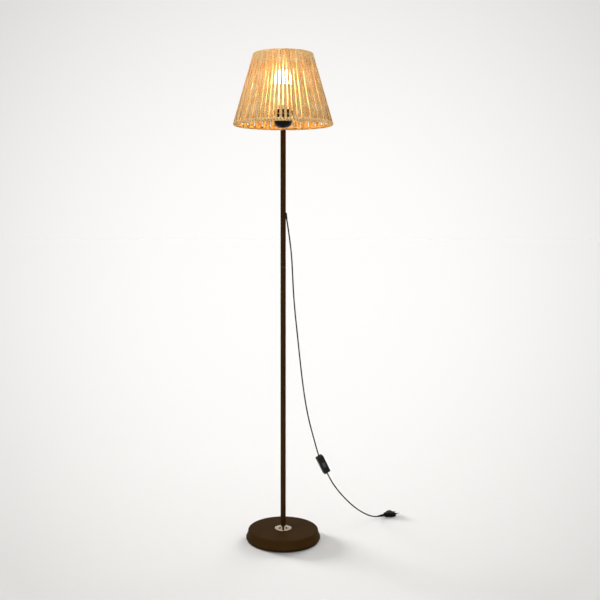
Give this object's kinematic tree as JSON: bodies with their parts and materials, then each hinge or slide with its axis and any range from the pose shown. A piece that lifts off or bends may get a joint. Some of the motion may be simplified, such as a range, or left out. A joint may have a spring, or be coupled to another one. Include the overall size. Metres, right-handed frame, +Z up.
{
  "type": "floor lamp",
  "caption": "Floor lamp with a cone shade wound with flat jute rope, slim sectional pole, heavy round base, bulb, and a lead with an in-line switch and a plug.",
  "frame": {"origin": "middle of the base's underside, on the floor", "axes": "+Z up along the pole; the front of the lamp looks along -Y; the lead leaves the pole between +X and +Y"},
  "size_m": [0.5479, 0.3868, 1.5003],
  "materials": {
    "foam_pad": "soft foamed rubber pad",
    "bronze_paint": "satin dark bronze powder coat",
    "cast_iron": "raw casting",
    "zinc_steel": "zinc plated",
    "polished_metal": "polished nickel",
    "black_plastic": "matte black moulding",
    "black_gloss": "black moulding with a soft sheen",
    "socket_moulding": "heat resistant cream moulding",
    "brass": "stamped brass",
    "nickel_cap": "nickel plated",
    "white_plastic": "satin white moulding",
    "bulb_diffuser": "frosted light diffuser, glowing warm white",
    "frame_wire": "straw coloured powder coat",
    "jute_rope": "flat plaited jute, warm tan",
    "cord_jacket": "soft dark cable jacket"
  },
  "bodies": {
    "stand": {"base_pad": "foam_pad", "base_cover": "bronze_paint", "base_weight": "cast_iron", "base_washer": "zinc_steel", "base_nut": "zinc_steel", "base_stud": "zinc_steel", "rosette": "polished_metal", "pole_lower": "bronze_paint", "pole_middle": "bronze_paint", "pole_upper": "bronze_paint", "foot_insert": "zinc_steel", "joiner_lower": "zinc_steel", "joiner_upper": "zinc_steel", "top_insert": "bronze_paint", "cord_outlet": "black_plastic", "neck_nipple": "zinc_steel", "neck_collar": "polished_metal", "holder_cup": "black_gloss", "holder_cap": "black_plastic", "holder_body": "black_plastic", "socket_core": "socket_moulding", "screw_shell": "brass", "centre_contact": "brass", "cord_upper": "cord_jacket", "cord_lower": "cord_jacket", "inner_flex": "cord_jacket", "switch_front": "black_gloss", "switch_back": "black_gloss", "case_screw_1": "zinc_steel", "case_screw_2": "zinc_steel", "rocker_pin": "zinc_steel", "terminal_upper": "brass", "terminal_lower": "brass", "plug_relief": "black_plastic", "plug_body": "black_plastic", "plug_pin_1": "nickel_cap", "plug_pin_2": "nickel_cap"},
    "ring_nut": {"ring_nut": "black_plastic"},
    "shade": {"top_ring": "frame_wire", "bottom_ring": "frame_wire", "fitter_ring": "frame_wire", "rib_1": "frame_wire", "rib_2": "frame_wire", "rib_3": "frame_wire", "rib_4": "frame_wire", "rib_5": "frame_wire", "rib_6": "frame_wire", "spoke_1": "frame_wire", "spoke_2": "frame_wire", "spoke_3": "frame_wire", "rope_1": "jute_rope", "rope_2": "jute_rope", "rope_3": "jute_rope"},
    "bulb": {"bulb_cap": "nickel_cap", "bulb_tip": "brass", "bulb_collar": "white_plastic", "led_board": "white_plastic", "bulb_dome": "bulb_diffuser"},
    "rocker": {"rocker": "black_gloss"},
    "contact": {"contact_plate": "brass"}
  },
  "joints": [
    {"name": "shade_turn", "type": "hinge", "parent": "stand", "child": "shade", "pos_m": [0, 0, 1.3226], "axis": [0, 0, 1], "continuous": true},
    {"name": "ring_lift", "type": "slide", "parent": "stand", "child": "ring_nut", "axis": [0, 0, 1], "range_m": [0, 0.012]},
    {"name": "bulb_lift", "type": "slide", "parent": "stand", "child": "bulb", "axis": [0, 0, 1], "range_m": [0, 0.014]},
    {"name": "rocker_tilt", "type": "hinge", "parent": "stand", "child": "rocker", "pos_m": [0.12992, 0.06929, 0.21993], "axis": [0.8275, 0.3171, 0.4634], "range_deg": [0, 16]},
    {"name": "contact_tilt", "type": "hinge", "parent": "stand", "child": "contact", "pos_m": [0.12759, 0.07481, 0.22032], "axis": [0.8275, 0.3171, 0.4634], "range_deg": [-10.1, 0.1]}
  ],
  "couplings": [
    {"joint": "contact_tilt", "follows": "rocker_tilt", "ratio": -0.625}
  ]
}
